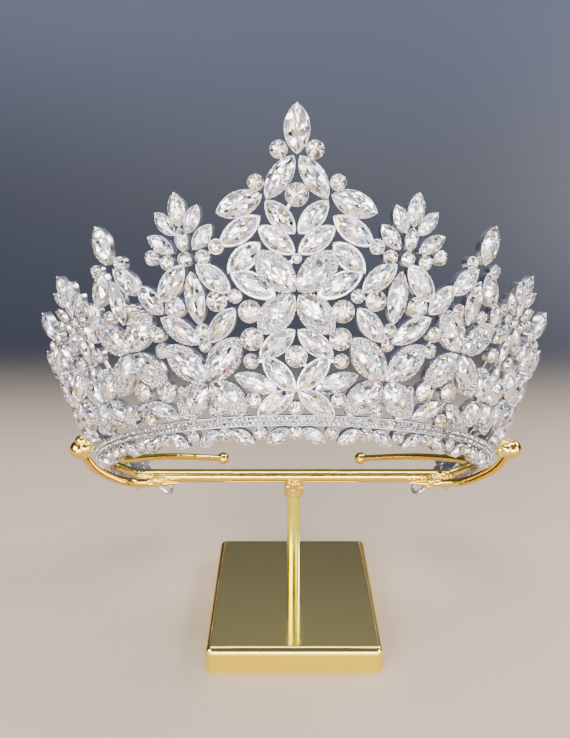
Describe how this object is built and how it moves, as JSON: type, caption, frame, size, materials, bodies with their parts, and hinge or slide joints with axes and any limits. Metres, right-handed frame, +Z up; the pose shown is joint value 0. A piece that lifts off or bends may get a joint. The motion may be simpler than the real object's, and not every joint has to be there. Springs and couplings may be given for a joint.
{
  "type": "pageant crown and display stand",
  "caption": "Tall pageant crown of claw-set crystal leaves, petals and dots on an open-backed band, resting on a plain gold stand with a square base, post, cross bar and ball-ended arms.",
  "frame": {"origin": "centre of the square base's underside, where the stand meets the table", "axes": "+Z up, +X to the right seen from the front, the crown's front faces -Y, the open back faces +Y; the crown is symmetric about X = 0"},
  "size_m": [0.2232, 0.1266, 0.2257],
  "materials": {
    "silver_plate": "bright rhodium-look plate, cast and soldered",
    "crystal": "faceted clear crystal, foil-backed",
    "gold_plate": "polished yellow gold plate",
    "base_gold": "mirror top, satin brushed sides, gold plate"
  },
  "bodies": {
    "root": {"crown_frame": "silver_plate", "stand_base": "base_gold", "stand_post": "gold_plate", "stand_cradle": "gold_plate", "centre_petal_1": "crystal", "centre_petal_2": "crystal", "centre_petal_3": "crystal", "centre_petal_4": "crystal", "cluster_stones": "crystal", "cluster_tip_stone_1": "crystal", "cluster_tip_stone_2": "crystal", "foot_stones": "crystal", "heart_round_stone": "crystal", "left_back_stones": "crystal", "left_tower_stones": "crystal", "low_petal_1": "crystal", "low_petal_2": "crystal", "low_petal_3": "crystal", "low_petal_4": "crystal", "low_petal_5": "crystal", "low_petal_6": "crystal", "low_petal_7": "crystal", "low_petal_8": "crystal", "plume_dots": "crystal", "plume_round_stone": "crystal", "plume_stone_1": "crystal", "plume_stone_10": "crystal", "plume_stone_11": "crystal", "plume_stone_12": "crystal", "plume_stone_2": "crystal", "plume_stone_3": "crystal", "plume_stone_4": "crystal", "plume_stone_5": "crystal", "plume_stone_6": "crystal", "plume_stone_7": "crystal", "plume_stone_8": "crystal", "plume_stone_9": "crystal", "right_back_stones": "crystal", "right_tower_stones": "crystal", "shoulder_stones": "crystal", "side_petal_1": "crystal", "side_petal_2": "crystal", "side_petal_3": "crystal", "side_petal_4": "crystal", "side_petal_5": "crystal", "side_petal_6": "crystal", "side_petal_7": "crystal", "side_petal_8": "crystal", "side_spike_stone_1": "crystal", "side_spike_stone_2": "crystal", "side_stones": "crystal", "top_spike_stone": "crystal"}
  },
  "joints": []
}
